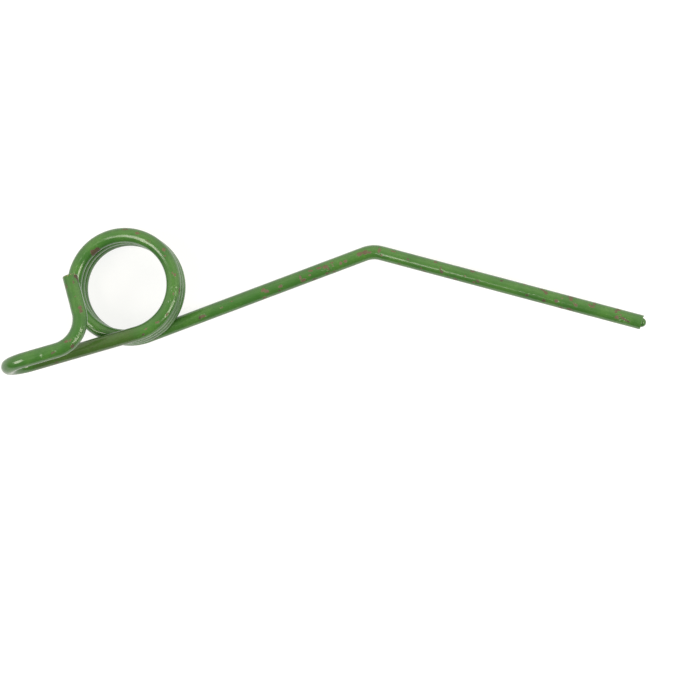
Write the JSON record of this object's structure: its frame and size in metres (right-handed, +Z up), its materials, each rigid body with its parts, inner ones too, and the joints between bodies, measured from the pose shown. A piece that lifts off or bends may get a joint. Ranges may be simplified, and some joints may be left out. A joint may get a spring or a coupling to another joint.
{
  "type": "reel tine",
  "caption": "Coiled spring wire tine with a long cranked arm and a looped hook, in glossy green paint with small chips.",
  "frame": {"origin": "where the coil's axis meets the flat surface that the tine lies on", "axes": "+Z up off that surface, +X along the tine towards the tip of the long arm, +Y across it"},
  "size_m": [0.3043, 0.0713, 0.0506],
  "materials": {
    "green_paint": "glossy green paint on spring steel wire, chipped to brown steel in small spots"
  },
  "bodies": {
    "root": {"reel_tine": "green_paint"}
  },
  "joints": []
}
